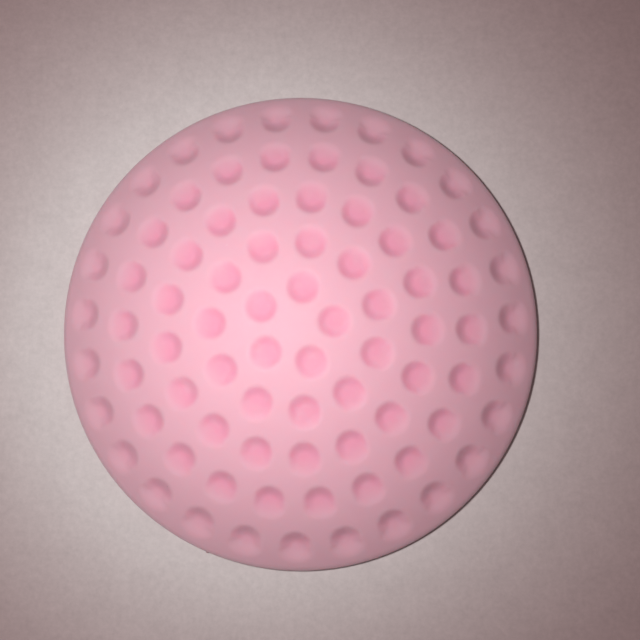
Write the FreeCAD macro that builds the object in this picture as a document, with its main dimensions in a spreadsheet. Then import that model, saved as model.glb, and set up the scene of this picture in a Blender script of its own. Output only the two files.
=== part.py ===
import FreeCAD, Part
import math
import os
import Sketcher

# A dimpled exercise half ball: a soft moulded dome over a foam core, closed
# underneath by a stiff plate that carries the grip pad it stands on.
# Millimetres. Origin: centre of the resting face. +Z up.

doc = FreeCAD.newDocument("half_ball")
sheet = doc.addObject("Spreadsheet::Sheet", "sizes")

driving_sizes = [
    ("base_diameter", 60.0, "widest diameter, at the rim band"),
    ("crown_rise", 11.6, "height of the spherical crown above the rim band"),
    ("band_height", 1.6, "height of the upright rim band"),
    ("band_upper_round", 2.0, "rounding where the crown meets the band"),
    ("band_lower_round", 0.5, "rounding under the band"),
    ("wall", 3.0, "thickness of the moulded crown"),
    ("lip_reach", 4.5, "how far the rim turns in under the plate"),
    ("lip_thickness", 1.2, "thickness of that lip"),
    ("groove_depth", 1.8, "how far the plate's groove goes in behind the lip"),
    ("plate_thickness", 1.5, "stiff base plate"),
    ("plate_round", 0.4, "rounding of the plate's edges"),
    ("pad_thickness", 1.6, "grip pad, from the floor to the plate"),
    ("pad_round", 0.4, "rounding of the pad's lower edge"),
    ("fit_clearance", 0.3, "gap round the plate and round the pad"),
    ("core_clearance", 0.3, "gap between the foam core and the crown"),
    ("dimple_width", 4.0, "width of the flattened ball that shapes a dimple"),
    ("dimple_height", 0.8, "half height of that flattened ball"),
    ("dimple_depth", 0.5, "how deep it sinks into the crown"),
    ("dimple_lag", 11.0, "most degrees by which a dimple leans less than the crown's slope"),
    ("dimple_round", 0.5, "rounding of a dimple's mouth"),
    ("rim_margin", 3.9, "from the rim in to the outer ring of dimples, seen from above"),
]

# The dimples stand in rings round the crown. Each ring has its count, its
# radius as a part of the outer ring's, and the direction of its first dimple.
dimple_rings = [
    ("ring_one", 5, 0.166, -65.7),
    ("ring_two", 11, 0.366, -18.4),
    ("ring_three", 17, 0.572, -1.5),
    ("ring_four", 22, 0.780, -0.7),
    ("ring_five", 27, 1.0, -10.6),
]


def fill_sheet():
    rows = list(driving_sizes)
    for ring, count, place, start in dimple_rings:
        rows.append((ring + "_count", count, "dimples in the ring"))
        rows.append((ring + "_place", place, "ring's radius as a part of the outer ring's"))
        rows.append((ring + "_start", start, "direction of its first dimple, degrees from +X"))
    for number, (alias, value, note) in enumerate(rows, start=1):
        sheet.set(f"A{number}", alias)
        sheet.set(f"B{number}", str(value))
        sheet.set(f"C{number}", note)
        sheet.setAlias(f"B{number}", alias)
    doc.recompute()


fill_sheet()

# Places and radii that follow from the driving sizes, as expressions.
rim_radius = "(sizes.base_diameter / 2)"
crown_radius = f"((pow({rim_radius}; 2) + pow(sizes.crown_rise; 2)) / (2 * sizes.crown_rise))"
lip_bottom = "(sizes.pad_thickness - sizes.lip_thickness)"
plate_bottom = "(sizes.pad_thickness)"
plate_top = f"({plate_bottom} + sizes.plate_thickness)"
band_top = f"({lip_bottom} + sizes.band_height)"
crown_top = f"({band_top} + sizes.crown_rise)"
crown_centre = f"({crown_top} - {crown_radius})"
lip_radius = f"({rim_radius} - sizes.lip_reach)"
groove_radius = f"({lip_radius} + sizes.groove_depth)"
outer_ring_radius = f"({rim_radius} - sizes.rim_margin)"

# The dimples stand closest in the first ring; their mouths are rounded no
# further than the land between two of them allows.
first_ring_step = f"(2 * {outer_ring_radius} * sizes.ring_one_place * sin(180 / sizes.ring_one_count))"
mouth_round = f"min(sizes.dimple_round; {first_ring_step} - sizes.dimple_width)"

same_place = 0.001  # two places nearer than this are one place


def number(expression):
    return float(sheet.evalExpression(expression))


def radius_at(sphere_radius, height):
    """Radius of a sphere about the crown's centre at a height, as an expression."""
    return f"sqrt(pow({sphere_radius}; 2) - pow({height} - {crown_centre}; 2))"


def new_body(name):
    body = doc.addObject("PartDesign::Body", name)
    body.Label = name
    return body


def origin_part(body, role):
    return next(part for part in body.Origin.OriginFeatures if part.Role == role)


def new_profile(body, name, corners, arcs=()):
    """Sketch a closed outline on the XZ plane. Corners are pairs of expressions;
    the sides named in arcs are arcs centred on the vertical axis."""
    sketch = body.newObject("Sketcher::SketchObject", name)
    sketch.AttachmentSupport = [(origin_part(body, "XZ_Plane"), "")]
    sketch.MapMode = "FlatFace"
    points = [FreeCAD.Vector(number(x), number(y), 0) for x, y in corners]
    count = len(points)
    for side in range(count):
        start = points[side]
        end = points[(side + 1) % count]
        if side in arcs:
            middle = (end.dot(end) - start.dot(start)) / (2 * (end.y - start.y))
            circle = Part.Circle(FreeCAD.Vector(0, middle, 0), FreeCAD.Vector(0, 0, 1), 1)
            circle.Radius = math.hypot(start.x, start.y - middle)
            turn = [math.atan2(point.y - middle, point.x) for point in (start, end)]
            sketch.addGeometry(Part.ArcOfCircle(circle, min(turn), max(turn)))
        else:
            sketch.addGeometry(Part.LineSegment(start, end))
    for side in range(count):
        sketch.addConstraint(Sketcher.Constraint("Coincident", side, 2, (side + 1) % count, 1))
        if side in arcs:
            sketch.addConstraint(Sketcher.Constraint("PointOnObject", side, 3, -2))
    for side, (x, y) in enumerate(corners):
        for kind, axis, expression in (("DistanceX", -2, x), ("DistanceY", -1, y)):
            if expression == "0":
                sketch.addConstraint(Sketcher.Constraint("PointOnObject", side, 1, axis))
            else:
                rule = Sketcher.Constraint(kind, -1, 1, side, 1, number(expression))
                place = sketch.addConstraint(rule)
                sketch.setExpression(f"Constraints[{place}]", expression)
    return sketch


def revolve(body, kind, name, sketch):
    feature = body.newObject("PartDesign::" + kind, name)
    feature.Profile = sketch
    feature.ReferenceAxis = (sketch, ["V_Axis"])
    feature.Angle = 360
    doc.recompute()
    return feature


def round_edges(body, name, radius, wanted):
    """Round every edge that the test picks."""
    base = body.Tip
    edges = []
    for index, edge in enumerate(base.Shape.Edges, start=1):
        if not edge.Degenerated and wanted(base.Shape, edge):
            edges.append(f"Edge{index}")
    fillet = body.newObject("PartDesign::Fillet", name)
    fillet.Base = (base, edges)
    fillet.setExpression("Radius", radius)
    body.Tip = fillet
    doc.recompute()
    return fillet


def about_axis(radius, height):
    """Test for a circle about the Z axis with this radius and height."""
    def matches(_shape, edge):
        if not isinstance(edge.Curve, Part.Circle):
            return False
        circle = edge.Curve
        off_axis = math.hypot(circle.Center.x, circle.Center.y)
        size_error = abs(circle.Radius - number(radius))
        height_error = abs(circle.Center.z - number(height))
        return max(off_axis, size_error, height_error) < same_place
    return matches


def dimple_mouth(shape, edge):
    """Test for an edge between the crown's ball and a dimple's flattened ball."""
    kinds = {type(face.Surface) for face in shape.ancestorsOfType(edge, Part.Face)}
    return kinds == {Part.Sphere, Part.BSplineSurface}


def cut_dimple_ring(body, ring):
    """One dimple as a flattened ball sunk in the crown, repeated round the axis.
    It leans out less than the crown slopes, so the dimples near the rim are
    deep on their upper side and nearly level with the crown on their lower side."""
    tilt = f"asin({outer_ring_radius} * sizes.{ring}_place / {crown_radius})"
    lean = f"({tilt} - min({tilt} / 2; sizes.dimple_lag * 1 deg))"
    raised = "(sizes.dimple_height - sizes.dimple_depth)"
    start = f"sizes.{ring}_start"
    reach = f"({crown_radius} * sin({tilt}) + {raised} * sin({lean}))"
    height = f"({crown_centre} + {crown_radius} * cos({tilt}) + {raised} * cos({lean}))"
    seed = body.newObject("PartDesign::SubtractiveEllipsoid", ring + "_seed")
    seed.AttachmentSupport = [(origin_part(body, "XY_Plane"), "")]
    seed.MapMode = "FlatFace"
    seed.setExpression("Radius1", "sizes.dimple_height")
    seed.setExpression("Radius2", "sizes.dimple_width / 2")
    seed.setExpression("Radius3", "sizes.dimple_width / 2")
    seed.setExpression("AttachmentOffset", (
        f"placement(vector({reach} * cos({start}); {reach} * sin({start}); {height});"
        f" rotation(vector(0; 0; 1); {start}) * rotation(vector(0; 1; 0); {lean}))"))
    doc.recompute()
    pattern = body.newObject("PartDesign::PolarPattern", ring)
    pattern.Originals = [seed]
    pattern.Axis = (origin_part(body, "Z_Axis"), [""])
    pattern.Angle = 360
    pattern.setExpression("Occurrences", f"sizes.{ring}_count")
    body.Tip = pattern
    doc.recompute()


def make_dome_shell():
    """Soft dome: spherical crown on a low upright band, hollow, with a lip
    underneath and a groove behind the lip that holds the base plate."""
    body = new_body("dome_shell")
    outside = new_profile(body, "shell_outside", [
        ("0", lip_bottom),
        (rim_radius, lip_bottom),
        (rim_radius, band_top),
        ("0", crown_top),
    ], arcs=(2,))
    revolve(body, "Revolution", "shell_solid", outside)
    inner_radius = f"({crown_radius} - sizes.wall)"
    inside = new_profile(body, "shell_inside", [
        ("0", lip_bottom),
        (lip_radius, lip_bottom),
        (lip_radius, plate_bottom),
        (groove_radius, plate_bottom),
        (groove_radius, plate_top),
        (radius_at(inner_radius, plate_top), plate_top),
        ("0", f"({crown_top} - sizes.wall)"),
    ], arcs=(5,))
    revolve(body, "Groove", "shell_hollow", inside)
    for ring, _count, _place, _start in dimple_rings:
        cut_dimple_ring(body, ring)
    round_edges(body, "dimple_mouths", mouth_round, dimple_mouth)
    round_edges(body, "band_upper_edge", "sizes.band_upper_round", about_axis(rim_radius, band_top))
    round_edges(body, "band_lower_edge", "sizes.band_lower_round", about_axis(rim_radius, lip_bottom))
    return body


def make_foam_core():
    """Foam cap that fills the crown and rests on the plate."""
    body = new_body("foam_core")
    core_radius = f"({crown_radius} - sizes.wall - sizes.core_clearance)"
    outline = new_profile(body, "core_outline", [
        ("0", plate_top),
        (radius_at(core_radius, plate_top), plate_top),
        ("0", f"({crown_top} - sizes.wall - sizes.core_clearance)"),
    ], arcs=(1,))
    revolve(body, "Revolution", "core_solid", outline)
    return body


def make_base_plate():
    """Stiff disc that snaps into the groove and keeps the dome flat."""
    body = new_body("base_plate")
    plate_radius = f"({groove_radius} - sizes.fit_clearance)"
    outline = new_profile(body, "plate_outline", [
        ("0", plate_bottom),
        (plate_radius, plate_bottom),
        (plate_radius, plate_top),
        ("0", plate_top),
    ])
    revolve(body, "Revolution", "plate_solid", outline)
    for name, height in (("plate_lower_edge", plate_bottom), ("plate_upper_edge", plate_top)):
        round_edges(body, name, "sizes.plate_round", about_axis(plate_radius, height))
    return body


def make_grip_pad():
    """Rubber disc under the plate, through the opening inside the lip."""
    body = new_body("grip_pad")
    pad_radius = f"({lip_radius} - sizes.fit_clearance)"
    outline = new_profile(body, "pad_outline", [
        ("0", "0"),
        (pad_radius, "0"),
        (pad_radius, plate_bottom),
        ("0", plate_bottom),
    ])
    revolve(body, "Revolution", "pad_solid", outline)
    round_edges(body, "pad_lower_edge", "sizes.pad_round", about_axis(pad_radius, "0"))
    return body


def check_document():
    for thing in doc.Objects:
        if "Invalid" in thing.State or "Error" in thing.State:
            raise RuntimeError(f"{thing.Name} did not build: {thing.State}")


def write_parts(bodies):
    for body in bodies:
        if body.Shape.isNull() or not body.Shape.isValid():
            raise RuntimeError(f"{body.Label} has no sound shape")
    os.makedirs("parts", exist_ok=True)
    for body in bodies:
        body.Shape.exportStep(os.path.join("parts", body.Label + ".step"))
        print(f"{body.Label}: {body.Shape.Volume:.1f} cubic mm")


bodies = [make_dome_shell(), make_foam_core(), make_base_plate(), make_grip_pad()]
doc.recompute()
check_document()
write_parts(bodies)
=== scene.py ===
import math
import bmesh
import bpy
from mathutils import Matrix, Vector, kdtree, noise


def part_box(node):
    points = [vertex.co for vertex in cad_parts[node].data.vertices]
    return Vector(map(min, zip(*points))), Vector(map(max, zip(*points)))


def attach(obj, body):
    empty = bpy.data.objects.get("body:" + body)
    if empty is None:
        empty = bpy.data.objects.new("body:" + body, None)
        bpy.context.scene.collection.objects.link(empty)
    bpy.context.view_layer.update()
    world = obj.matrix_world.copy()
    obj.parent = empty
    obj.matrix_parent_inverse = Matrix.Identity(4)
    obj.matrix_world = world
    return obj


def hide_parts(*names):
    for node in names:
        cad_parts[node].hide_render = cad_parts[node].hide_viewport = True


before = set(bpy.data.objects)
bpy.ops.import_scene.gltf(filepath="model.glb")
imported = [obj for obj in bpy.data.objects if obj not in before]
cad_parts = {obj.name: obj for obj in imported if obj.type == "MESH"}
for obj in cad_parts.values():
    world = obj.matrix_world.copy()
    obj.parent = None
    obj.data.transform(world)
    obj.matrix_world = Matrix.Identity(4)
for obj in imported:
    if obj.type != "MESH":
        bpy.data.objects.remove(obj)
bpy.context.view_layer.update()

millimetre = 0.001
smallest = 0.01 * millimetre


class Wire:
    # a node's output; sums and products of wires add maths nodes
    def __init__(self, finish, socket):
        self.finish = finish
        self.socket = socket

    def sum(self, operation, first, second):
        return self.finish.node("ShaderNodeMath", {"operation": operation}, {0: first, 1: second})

    def __add__(self, other):
        return self.sum("ADD", self, other)

    def __radd__(self, other):
        return self.sum("ADD", other, self)

    def __sub__(self, other):
        return self.sum("SUBTRACT", self, other)

    def __rsub__(self, other):
        return self.sum("SUBTRACT", other, self)

    def __mul__(self, other):
        return self.sum("MULTIPLY", self, other)

    def __rmul__(self, other):
        return self.sum("MULTIPLY", other, self)


class Finish:
    # a material, with one method that makes any node and a few short ways to common ones
    def __init__(self, name):
        self.material = bpy.data.materials.new(name)
        self.material.use_nodes = True
        self.tree = self.material.node_tree
        self.shader = self.tree.nodes["Principled BSDF"]

    def node(self, kind, settings, inputs, output=0):
        made = self.tree.nodes.new(kind)
        for key, value in settings.items():
            if key == "stops":
                for element, (place, shade) in zip(made.color_ramp.elements, value):
                    element.position = place
                    element.color = (shade, shade, shade, 1)
            else:
                setattr(made, key, value)
        for key, value in inputs.items():
            self.plug(made.inputs[key], value)
        return Wire(self, made.outputs[output])

    def plug(self, socket, value):
        if isinstance(value, Wire):
            self.tree.links.new(value.socket, socket)
        else:
            socket.default_value = value

    def set(self, **values):
        for key, value in values.items():
            self.plug(self.shader.inputs[key.replace("_", " ")], value)

    def noise(self, scale, detail=2, rough=0.5):
        place = self.node("ShaderNodeTexCoord", {}, {}, "Object")
        sockets = {"Vector": place, "Scale": scale, "Detail": detail, "Roughness": rough}
        return self.node("ShaderNodeTexNoise", {}, sockets, "Fac")

    def ramp(self, value, low, high):
        return self.node("ShaderNodeValToRGB", {"stops": [(low, 0), (high, 1)]}, {"Fac": value})

    def bump(self, strength, depth, height):
        return self.node("ShaderNodeBump", {}, {"Strength": strength, "Distance": depth, "Height": height})

    def blend(self, amount, first, second, how="MIX"):
        sockets = {0: amount, 6: first, 7: second}
        return self.node("ShaderNodeMix", {"data_type": "RGBA", "blend_type": how}, sockets, 2)


dome = {
    "bandHeight": 1.6 * millimetre,      # from the lip up to the edge of the crown
    "upperRound": 3.0 * millimetre,
    "lowerRound": 0.2 * millimetre,
    "crownLoops": 134,                   # triangles from the middle of the crown to its edge
    "roundSteps": 6,
    "wall": 3.0 * millimetre,
    "lipReach": 4.5 * millimetre,
    "grooveDepth": 1.8 * millimetre,
    "innerLoops": 8,
    "sharpEdge": 50,                     # degrees from which an edge is shaded sharp
    "nubDirection": -112.6,              # a scrap of moulding flash left on the rim
    "nubWidth": 0.28 * millimetre,
    "nubReach": 0.3 * millimetre,
    "nubSpread": 3,                      # in widths, where the scrap has died away
}

# a pair is the value in the middle of the crown and what the rim adds to it
dimple = {
    "rimShare": 5,                       # a power: how late towards the rim that is added
    "floorRadius": (0.83 * millimetre, -0.45 * millimetre),
    "cornerRadius": (0.85 * millimetre, 0.33 * millimetre),
    "depth": (0.29 * millimetre, 0.35 * millimetre),
    "openCorner": 2.6,                   # how much gentler the corner is on the lower side
    "softness": 0.6 * millimetre,        # how far the mouth is rounded off
    "floorLag": (0.5, 11),               # the floor leans less than the crown: by a part, or by degrees
    "paleStart": (0.35 * millimetre, 0.85 * millimetre),   # how far uphill of the middle the painted shade fades, towards the lower wall that the lamp lights
    "paleWidth": 2.0 * millimetre,
    "paleGrowth": 0.7,
    "fullShade": (0.6, -0.25),            # the part of the depth where the painted shade is full
    "shadeStrength": (1, -0.25),
    "rimMargin": 3.9 * millimetre,
    # count, radius as a part of the outer ring's, direction of the first one
    "rings": [
        (5, 0.166, -65.7),
        (11, 0.366, -18.4),
        (17, 0.572, -1.5),
        (22, 0.780, -0.7),
        (27, 1.0, -10.6),
    ],
}

shellLow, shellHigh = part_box("dome_shell")
rimRadius = shellHigh.x
bandTop = shellLow.z + dome["bandHeight"]
crownRise = shellHigh.z - bandTop
crownRadius = (rimRadius ** 2 + crownRise ** 2) / (2 * crownRise)
crownCentre = Vector((0, 0, shellHigh.z - crownRadius))


def leaning(tilt, turn):
    flat = math.sin(tilt)
    return Vector((flat * math.cos(turn), flat * math.sin(turn), math.cos(tilt)))


def dimplePins():
    # for each dimple its middle on the crown, its floor's direction, the way
    # down the slope, and its place from the middle to the rim
    pins = []
    part, most = dimple["floorLag"]
    for count, place, start in dimple["rings"]:
        tilt = math.asin((rimRadius - dimple["rimMargin"]) * place / crownRadius)
        floorTilt = tilt - min(part * tilt, math.radians(most))
        for number in range(count):
            turn = math.radians(start + 360 * number / count)
            middle = crownCentre + crownRadius * leaning(tilt, turn)
            pins.append((middle, leaning(floorTilt, turn), leaning(math.pi / 2, turn), place))
    return pins


def roundingEdge():
    # where the rounding meets the crown, and the rounding's middle
    size = dome["upperRound"]
    middleX = rimRadius - size
    drop = math.sqrt((crownRadius - size) ** 2 - middleX ** 2)
    tilt = math.atan2(middleX, drop)
    return tilt, Vector((middleX, crownCentre.z + drop))


def rimOutline(edgeTilt, roundMiddle):
    # outline below the crown, as radius and height, down the rim and in under the lip
    points = []
    size = dome["upperRound"]
    for step in range(1, dome["roundSteps"] + 1):
        lean = edgeTilt + (math.pi / 2 - edgeTilt) * step / dome["roundSteps"]
        points.append((roundMiddle.x + size * math.sin(lean), roundMiddle.y + size * math.cos(lean)))
    size = dome["lowerRound"]
    for step in range(dome["roundSteps"] + 1):
        lean = math.pi / 2 * (1 + step / dome["roundSteps"])
        points.append((rimRadius - size + size * math.sin(lean), shellLow.z + size + size * math.cos(lean)))
    return points


def hollowOutline():
    # lip, groove behind it and the inside of the crown
    lipRadius = rimRadius - dome["lipReach"]
    grooveRadius = lipRadius + dome["grooveDepth"]
    plateLow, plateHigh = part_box("base_plate")
    points = [
        (lipRadius, shellLow.z),
        (lipRadius, plateLow.z),
        (grooveRadius, plateLow.z),
        (grooveRadius, plateHigh.z),
    ]
    insideRadius = crownRadius - dome["wall"]
    widest = math.acos((plateHigh.z - crownCentre.z) / insideRadius)
    for step in range(dome["innerLoops"]):
        tilt = widest * (1 - step / dome["innerLoops"])
        points.append((insideRadius * math.sin(tilt), crownCentre.z + insideRadius * math.cos(tilt)))
    return points


def sixSidedReach(point):
    # 0 at the middle of a six-sided disc, 1 on its sides
    apothem = math.cos(math.pi / 6)
    reach = 0
    for side in range(3):
        turn = side * math.pi / 3
        reach = max(reach, abs(point.x * math.cos(turn) + point.y * math.sin(turn)) / apothem)
    return reach


def crownMesh(loops, edgeTilt, centre, radius):
    # a ball's top, from a six-sided disc of even triangles
    mesh = bmesh.new()
    bmesh.ops.create_circle(mesh, cap_ends=True, cap_tris=True, segments=6, radius=1)
    bmesh.ops.subdivide_edges(mesh, edges=mesh.edges[:], cuts=loops - 1, use_grid_fill=True)
    for vert in mesh.verts:
        turn = math.atan2(vert.co.y, vert.co.x)
        vert.co = centre + radius * leaning(edgeTilt * sixSidedReach(vert.co), turn)
    return mesh


def softFloor(value, softness):
    # like max(value, 0), with its corner rounded off
    overlap = max(softness - abs(value), 0) / softness
    return max(value, 0) + overlap * overlap * softness / 4


def pressDimples(mesh, pins):
    # the mould's pins stand upright, so every dimple is sunk straight down
    tree = kdtree.KDTree(len(pins))
    for index, pin in enumerate(pins):
        tree.insert(pin[0], index)
    tree.balance()
    # each vertex gets an amount of painted shade: darker, deeper pink down in a dimple, fading out on its
    # lower wall where the lamp light falls
    dimpleShade = mesh.verts.layers.float.new("dimpleShade")
    pairs = ("floorRadius", "cornerRadius", "depth", "paleStart", "fullShade", "shadeStrength")
    for vert in mesh.verts:
        middle, index, _ = tree.find(vert.co)
        _, floor, outward, place = pins[index]
        share = place ** dimple["rimShare"]
        floorRadius, cornerRadius, depth, paleStart, fullShade, shadeStrength = [
            dimple[key][0] + dimple[key][1] * share for key in pairs
        ]
        offset = vert.co - middle
        down = offset.dot(outward)
        across = max(offset.xy.length, smallest)
        cornerRadius *= 1 + dimple["openCorner"] * place * max(down / across, 0)
        corner = max(across - floorRadius, 0)
        sink = (offset.dot(floor) + depth) / floor.z
        sink = softFloor(sink - corner * corner / (2 * cornerRadius), dimple["softness"])
        pale = (down + paleStart) * place ** dimple["paleGrowth"] / dimple["paleWidth"]
        pink = min(sink / (fullShade * depth), 1) * (1 - min(max(pale, 0), 1))
        vert[dimpleShade] = shadeStrength * pink
        vert.co.z -= sink


def addLoops(mesh, outline):
    # extrude the open edge through each radius and height
    border = [edge for edge in mesh.edges if edge.is_boundary]
    for radius, height in outline:
        made = bmesh.ops.extrude_edge_only(mesh, edges=border)["geom"]
        border = [item for item in made if isinstance(item, bmesh.types.BMEdge) and item.is_boundary]
        for vert in [item for item in made if isinstance(item, bmesh.types.BMVert)]:
            flat = Vector((vert.co.x, vert.co.y))
            flat *= radius / flat.length
            vert.co = (flat.x, flat.y, height)
    return border


def addNub(mesh, height):
    turn = math.radians(dome["nubDirection"])
    place = Vector((rimRadius * math.cos(turn), rimRadius * math.sin(turn), height))
    for vert in mesh.verts:
        away = (vert.co - place).length / dome["nubWidth"]
        if away < dome["nubSpread"]:
            outward = Vector((vert.co.x, vert.co.y, 0)).normalized()
            vert.co += outward * dome["nubReach"] * math.exp(-away * away)


def meshObject(name, mesh, finish):
    data = bpy.data.meshes.new(name)
    mesh.to_mesh(data)
    mesh.free()
    piece = bpy.data.objects.new(name, data)
    bpy.context.scene.collection.objects.link(piece)
    data.materials.append(finish.material)
    return piece


def makeDome(finish):
    edgeTilt, roundMiddle = roundingEdge()
    mesh = crownMesh(dome["crownLoops"], edgeTilt, crownCentre, crownRadius)
    pressDimples(mesh, dimplePins())
    addLoops(mesh, rimOutline(edgeTilt, roundMiddle))
    border = addLoops(mesh, hollowOutline())
    bmesh.ops.edgeloop_fill(mesh, edges=border)
    addNub(mesh, roundMiddle.y)
    bmesh.ops.recalc_face_normals(mesh, faces=mesh.faces[:])
    for face in mesh.faces:
        face.smooth = True
    for edge in mesh.edges:
        if edge.is_manifold and edge.calc_face_angle() > math.radians(dome["sharpEdge"]):
            edge.smooth = False
    piece = meshObject("silicone_dome", mesh, finish)
    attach(piece, "root")
    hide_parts("dome_shell")
    return piece


silicone = {
    "landPink": (0.835, 0.465, 0.555, 1),
    # painted shade: the darker, deeper pink painted into the dimples
    "dimpleShadePink": (0.855, 0.355, 0.485, 1),
    "smudge": (0.8, 0.5, 0.56, 1),
    "smudgeStrength": 0.35,
    "lint": (0.85, 0.82, 0.8, 1),
    "lintStrength": 0.8,
    "lintSpecks": (0.3, 0.012, 0.03),    # shift, share of the cells and size
    "grime": (0.3, 0.19, 0.2, 1),
    "grimeStrength": 0.6,
    "grimeSpecks": (0.7, 0.03, 0.022),
    "speckCells": 260,
    "cloudCells": 90,
    "patchCells": 420,
    "grainCells": 5200,
    "roughness": 0.62,
    "roughnessChange": 0.12,
    "subsurface": 0.8,
    "subsurfaceRadius": (1.0, 0.5, 0.45),
    "subsurfaceReach": 0.85 * millimetre,
    "specular": 0.35,
    "sheen": 0.15,
    "sheenRoughness": 0.6,
    "bump": 0.2,
    "bumpDepth": 0.05 * millimetre,
}


def specks(paint, values):
    # sparse round specks, 1 on a speck and 0 off it
    shift, share, size = values
    place = paint.node("ShaderNodeTexCoord", {}, {}, "Object")
    shifted = paint.node("ShaderNodeVectorMath", {"operation": "ADD"}, {0: place, 1: (shift, 0, 0)})
    sockets = {"Vector": shifted, "Scale": silicone["speckCells"]}
    cells = paint.node("ShaderNodeTexVoronoi", {}, sockets, "Distance")
    dice = paint.node("ShaderNodeTexVoronoi", {}, sockets, "Color")
    dice = paint.node("ShaderNodeSeparateColor", {}, {"Color": dice}, "Red")
    return paint.ramp(dice, 1 - share, 1 - share + 0.001) * (1 - paint.ramp(cells, size, size * 1.4))


def makeSilicone():
    paint = Finish("pinkSilicone")
    dimpleShade = paint.node("ShaderNodeAttribute", {"attribute_name": "dimpleShade"}, {}, "Fac")
    cloudy = paint.noise(silicone["cloudCells"], 3)
    patchy = paint.noise(silicone["patchCells"], 4, 0.6)
    grain = paint.noise(silicone["grainCells"], 2, 0.6)
    lint = silicone["lintStrength"] * specks(paint, silicone["lintSpecks"])
    grime = silicone["grimeStrength"] * specks(paint, silicone["grimeSpecks"])
    # painted shade in the dimples, laid over the silicone's own pink
    pink = paint.blend(dimpleShade, silicone["landPink"], silicone["dimpleShadePink"])
    pink = paint.blend(silicone["smudgeStrength"] * paint.ramp(patchy, 0.5, 0.8), pink, silicone["smudge"])
    pink = paint.blend(lint, pink, silicone["lint"])
    pink = paint.blend(grime, pink, silicone["grime"])
    relief = 0.6 * grain + 0.4 * patchy
    paint.set(
        Base_Color=pink,
        Roughness=silicone["roughness"] + silicone["roughnessChange"] * (cloudy - 0.5),
        Subsurface_Weight=silicone["subsurface"],
        Subsurface_Radius=silicone["subsurfaceRadius"],
        Subsurface_Scale=silicone["subsurfaceReach"],
        Specular_IOR_Level=silicone["specular"],
        Sheen_Weight=silicone["sheen"],
        Sheen_Roughness=silicone["sheenRoughness"],
        Normal=paint.bump(silicone["bump"], silicone["bumpDepth"], relief),
    )
    return paint


print("silicone dome")
makeDome(makeSilicone())


padRubber = {
    "color": (0.2, 0.19, 0.19, 1),
    "dark": (0.13, 0.12, 0.12, 1),
    "roughness": 0.7,
    "cells": 1100,                       # round pebbles that keep the pad from sliding
    "grain": 2600,
    "strength": 0.8,
    "depth": 0.15 * millimetre,
}

platePlastic = {
    "color": (0.8, 0.78, 0.74, 1),
    "dark": (0.7, 0.67, 0.62, 1),
    "roughness": 0.45,
    "cells": 160,
    "grain": 900,
    "strength": 0.2,
    "depth": 0.05 * millimetre,
}

coreFoam = {
    "color": (0.85, 0.83, 0.77, 1),
    "dark": (0.68, 0.64, 0.56, 1),
    "roughness": 0.95,
    "cells": 1700,                       # open pores
    "grain": 1500,
    "strength": 0.9,
    "depth": 0.2 * millimetre,
    # the block's own shape, kept a little inside the shell's hollow
    "edgeRound": 0.6 * millimetre,
    "loops": 60,
    "roundSteps": 6,
    "ripple": 0.08 * millimetre,
    "rippleCells": 900,
}


def makeHidden(name, values):
    # grain and cells, for the pieces under the dome
    paint = Finish(name)
    grain = paint.noise(values["grain"], 3, 0.6)
    place = paint.node("ShaderNodeTexCoord", {}, {}, "Object")
    cells = paint.node("ShaderNodeTexVoronoi", {}, {"Vector": place, "Scale": values["cells"]}, "Distance")
    paint.set(
        Base_Color=paint.blend(0.6 * cells + 0.4 * grain, values["color"], values["dark"]),
        Roughness=values["roughness"] + 0.1 * (grain - 0.5),
        Normal=paint.bump(values["strength"], values["depth"], 0.3 * grain - cells),
    )
    return paint


for node, name, values in (
    ("grip_pad", "padRubber", padRubber),
    ("base_plate", "platePlastic", platePlastic),
):
    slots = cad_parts[node].data.materials
    slots.clear()
    slots.append(makeHidden(name, values).material)
print("pad and plate")


def makeCore(finish):
    low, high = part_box("foam_core")
    rise = high.z - low.z
    radius = (high.x ** 2 + rise ** 2) / (2 * rise)
    centre = Vector((0, 0, high.z - radius))
    size = coreFoam["edgeRound"]
    drop = low.z + size - centre.z
    middleX = math.sqrt((radius - size) ** 2 - drop ** 2)
    edgeTilt = math.atan2(middleX, drop)
    mesh = crownMesh(coreFoam["loops"], edgeTilt, centre, radius)
    outline = []
    for step in range(1, coreFoam["roundSteps"] + 1):
        lean = edgeTilt + (math.pi - edgeTilt) * step / coreFoam["roundSteps"]
        outline.append((middleX + size * math.sin(lean), low.z + size + size * math.cos(lean)))
    border = addLoops(mesh, outline)
    underside = bmesh.ops.edgeloop_fill(mesh, edges=border)["faces"]
    bmesh.ops.recalc_face_normals(mesh, faces=mesh.faces[:])
    mesh.normal_update()
    flat = {vert for face in underside for vert in face.verts}
    for vert in mesh.verts:
        if vert not in flat:
            pore = 0.5 + 0.5 * noise.noise(vert.co * coreFoam["rippleCells"])
            vert.co -= vert.normal * coreFoam["ripple"] * pore
    for face in mesh.faces:
        face.smooth = face not in underside
    piece = meshObject("foam_filling", mesh, finish)
    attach(piece, "root")
    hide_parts("foam_core")
    return piece


makeCore(makeHidden("coreFoam", coreFoam))
print("foam core")


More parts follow.
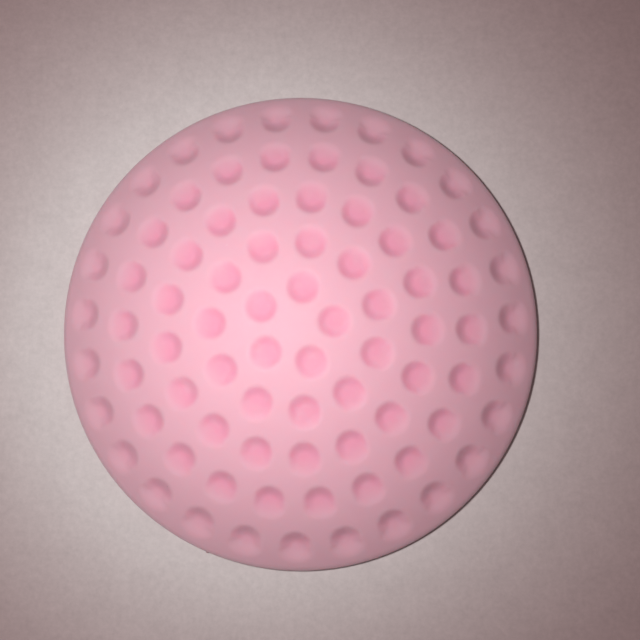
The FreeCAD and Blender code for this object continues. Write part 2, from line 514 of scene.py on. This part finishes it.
stage = {
    "floorSize": 0.6,
    # painted light: the floor's colour falls off away from the piece as the lamp's light would, pale near
    # and darker, redder far
    "litFloorColor": (0.66, 0.60, 0.59, 1),
    "shadedFloorColor": (0.42, 0.285, 0.285, 1),
    "lightPoolNear": 0.03,                   # painted light: the floor is painted pale up to here and darker and redder further out, a painted falloff of the lamp's light
    "lightPoolFar": 0.07,
    "lightPoolMiddle": (-0.0045, 0, 0),      # where the painted pool of lamp light on the floor lies
    "floorDrop": 0.02 * millimetre,      # keeps the floor clear of the pad's face
    "evenTone": 0.77,
    "cloudCells": 300,
    "cloudTone": 0.16,
    "grainCells": 1300,
    "grainTone": 0.3,
    "floorRoughness": 0.8,
    "lampPlace": (-0.36, 0.03, 2.9),     # in base radii from the middle of the rim
    "lampSize": 0.008,
    "lampPower": 0.0645,
    "fill": 0.13,
    "fillColor": (1, 0.78, 0.78, 1),
    "cameraPlace": (0.120, -0.117, 2.953),
    "cameraTilt": (3.10, 0.66, 0),
    "lens": 39.37,
}


def makeFloor():
    mesh = bmesh.new()
    bmesh.ops.create_grid(mesh, x_segments=8, y_segments=8, size=stage["floorSize"])
    for vert in mesh.verts:
        vert.co.z -= stage["floorDrop"]
    paint = Finish("floorPaint")
    place = paint.node("ShaderNodeTexCoord", {}, {}, "Object")
    # painted light: a pale pool round the piece, darkening and reddening outwards, stands in for the lamp's
    # falloff
    sockets = {0: place, 1: stage["lightPoolMiddle"]}
    away = paint.node("ShaderNodeVectorMath", {"operation": "DISTANCE"}, sockets, "Value")
    away = paint.ramp(away, stage["lightPoolNear"], stage["lightPoolFar"])
    paintedFalloff = paint.blend(away * (2 - away), stage["litFloorColor"], stage["shadedFloorColor"])
    clouds = stage["cloudTone"] * paint.noise(stage["cloudCells"], 3, 0.6)
    grain = stage["grainTone"] * paint.noise(stage["grainCells"], 3, 0.7)
    mottle = stage["evenTone"] + clouds + grain
    paint.set(Base_Color=paint.blend(1, paintedFalloff, mottle, "MULTIPLY"), Roughness=stage["floorRoughness"])
    meshObject("floor", mesh, paint)


def rimPlace(place):
    return Vector(place) * rimRadius + Vector((0, 0, shellLow.z + dome["bandHeight"] / 2))


def makeLight():
    lamp = bpy.data.lights.new("lamp", "AREA")
    lamp.shape = "DISK"
    lamp.size = stage["lampSize"]
    lamp.energy = stage["lampPower"]
    lampObject = bpy.data.objects.new("lamp", lamp)
    lampObject.location = rimPlace(stage["lampPlace"])
    bpy.context.scene.collection.objects.link(lampObject)
    world = bpy.data.worlds.new("studio")
    world.use_nodes = True
    background = world.node_tree.nodes["Background"]
    background.inputs["Color"].default_value = stage["fillColor"]
    background.inputs["Strength"].default_value = stage["fill"]
    bpy.context.scene.world = world


def makeCamera():
    camera = bpy.data.cameras.new("camera")
    camera.lens = stage["lens"]
    camera.sensor_width = 36
    camera.clip_start = 0.001
    cameraObject = bpy.data.objects.new("camera", camera)
    cameraObject.location = rimPlace(stage["cameraPlace"])
    cameraObject.rotation_euler = [math.radians(angle) for angle in stage["cameraTilt"]]
    bpy.context.scene.collection.objects.link(cameraObject)
    bpy.context.scene.camera = cameraObject


makeFloor()
makeLight()
makeCamera()
bpy.context.scene.view_settings.view_transform = "Standard"
print("stage")
